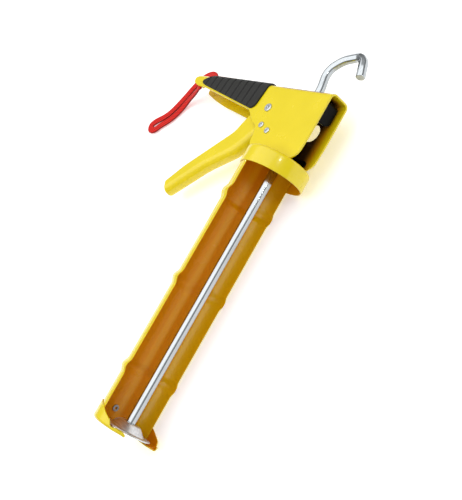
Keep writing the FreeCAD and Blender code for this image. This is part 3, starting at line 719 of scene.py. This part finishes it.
strap_points = (
    (-0.05257, -0.14968, 0.01917), (-0.0513, -0.15187, 0.01893), (-0.0497, -0.1544, 0.0168),
    (-0.0477, -0.1582, 0.0138), (-0.0453, -0.1637, 0.0104), (-0.042, -0.1697, 0.007),
    (-0.0373, -0.1745, 0.0044), (-0.0313, -0.1783, 0.0028), (-0.0252, -0.1814, 0.0023),
    (-0.0192, -0.1847, 0.0023), (-0.014, -0.1892, 0.0023), (-0.009, -0.1944, 0.0023),
    (-0.0026, -0.1986, 0.0023), (-0.0014, -0.2044, 0.0023), (-0.0068, -0.2078, 0.0023),
    (-0.0122, -0.2036, 0.0023), (-0.0168, -0.1974, 0.0023), (-0.023, -0.1916, 0.0023),
    (-0.0309, -0.1878, 0.0023), (-0.0385, -0.1849, 0.0023), (-0.0466, -0.1822, 0.0023),
    (-0.0548, -0.1794, 0.0026), (-0.0622, -0.1746, 0.0042), (-0.0674, -0.1672, 0.007),
    (-0.07, -0.1588, 0.0098), (-0.0702, -0.1508, 0.012), (-0.067, -0.1448, 0.0132),
    (-0.0618, -0.1424, 0.0132), (-0.0594, -0.1414, 0.017), (-0.0566, -0.1427, 0.01994),
    (-0.05464, -0.1461, 0.01957),
)


def spline_line(name, points):
    """The points along a NURBS spline with the given control points."""
    curve = bpy.data.curves.new(name, "CURVE")
    curve.dimensions = "3D"
    spline = curve.splines.new("NURBS")
    spline.points.add(len(points) - 1)
    for control, place in zip(spline.points, points):
        control.co = (*place, 1.0)
    spline.order_u = 3
    spline.use_endpoint_u = True
    spline.resolution_u = 10
    holder = bpy.data.objects.new(name, curve)
    line = bpy.data.meshes.new_from_object(holder)
    path = np.array([vertex.co[:] for vertex in line.vertices])
    bpy.data.objects.remove(holder)
    bpy.data.curves.remove(curve)
    return path


def wrist_strap():
    """A flattened oval carried along the spline, its width level and square to the line."""
    path = spline_line("strap_line", strap_points)
    step = np.linalg.norm(np.diff(path, axis=0), axis=1)
    path = path[np.r_[True, step > 1e-6]]
    way = unit(np.gradient(path, axis=0))
    across = unit(np.cross(way, np.array([0.0, 0.0, 1.0])))
    up = np.cross(across, way)
    angle = np.linspace(0, 2 * math.pi, 24, endpoint=False)
    wide = strap_width / 2 * np.sign(np.cos(angle)) * abs(np.cos(angle)) ** 0.8
    thick = strap_thickness / 2 * np.sign(np.sin(angle)) * abs(np.sin(angle)) ** 0.6
    grid = path[:, None] + across[:, None] * wide[None, :, None] + up[:, None] * thick[None, :, None]
    rows, columns = grid.shape[:2]
    mesh = bpy.data.meshes.new("wrist_strap_webbing")
    mesh.from_pydata(grid.reshape(-1, 3).tolist(), [], tube_faces(rows, columns))
    length = np.r_[0, np.cumsum(np.linalg.norm(np.diff(path, axis=0), axis=1))]
    layer = mesh.uv_layers.new(name="thread")
    corner = np.zeros(len(mesh.loops), dtype=np.int64)
    mesh.loops.foreach_get("vertex_index", corner)
    uv = np.stack([length[corner // columns], wide[corner % columns]], -1)
    layer.data.foreach_set("uv", uv.ravel())
    outward(mesh)
    made = placed(mesh, "strap_webbing", "frame", ["wrist_strap"])


wrist_strap()


# ---- finishes of the CAD nodes that stay ----

node_finish = {
    "housing": "yellow_enamel", "mounting_bracket": "black_oxide_steel", "cap_rivet": "hard_steel",
    "collar_rivets": "zinc_steel", "rod_bush": "bush_nylon", "bracket_rivet": "zinc_steel",
    "stop_rivet": "zinc_steel", "pivot_rivet": "zinc_steel", "strap_pin": "yellow_enamel",
    "piston_washer": "zinc_steel", "piston_nut": "zinc_steel", "pivot_bush": "zinc_steel",
    "drive_roller": "hard_steel", "roller_pin": "hard_steel", "drive_plate": "hard_steel",
    "release_plate": "black_oxide_steel",
}
for node, finish in node_finish.items():
    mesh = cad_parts[node].data
    mesh.materials.clear()
    mesh.materials.append(channel_enamel if node == "housing" else finishes[finish])


# ---- floor and light: a white paper sweep under a wide soft box ----

floor_mesh = bpy.data.meshes.new("studio_floor")
floor_mesh.from_pydata([(-3, -3, 0), (3, -3, 0), (3, 3, 0), (-3, 3, 0)], [], [(0, 1, 2, 3)])
floor = bpy.data.objects.new("studio_floor", floor_mesh)
bpy.context.collection.objects.link(floor)
paper, _, shader, _ = surface("studio_paper_matt", Roughness=0.9)
shader.inputs["Base Color"].default_value = linear("#f6f6f6")
shader.inputs["Emission Color"].default_value = (1.0, 1.0, 1.0, 1.0)
shader.inputs["Emission Strength"].default_value = 0.35
floor_mesh.materials.append(paper)


def lamp(name, place, aim, size, power):
    """A square soft light that faces aim."""
    light = bpy.data.lights.new(name, "AREA")
    light.shape = "SQUARE"
    light.size = size
    light.energy = power
    made = bpy.data.objects.new(name, light)
    made.location = place
    made.rotation_mode = "QUATERNION"
    made.rotation_quaternion = (Vector(aim) - Vector(place)).to_track_quat("-Z", "Y")
    bpy.context.collection.objects.link(made)


lamp("soft_light_above", (0.0, -0.35, 1.3), (0.08, 0.0, 0.0), 2.0, 17.5)
# A small bare lamp that draws thin bright lines along the rounded enamel
lamp("spot_lamp", (-0.274, 0.818, 0.899), (0.008, 0.02, 0.049), 0.09, 1.3)
world = bpy.data.worlds.new("studio_room")
bpy.context.scene.world = world
world.use_nodes = True
room = world.node_tree
way = add(room, "ShaderNodeTexCoord").outputs["Generated"]
height = add(room, "ShaderNodeSeparateXYZ", {0: way}).outputs["Z"]
tone = add(room, "ShaderNodeValToRGB", {0: height}, [(0.0, "#8c8c8c"), (0.75, "#f4f4f4")])
room.links.new(tone.outputs[0], room.nodes["Background"].inputs["Color"])
room.nodes["Background"].inputs["Strength"].default_value = 0.7
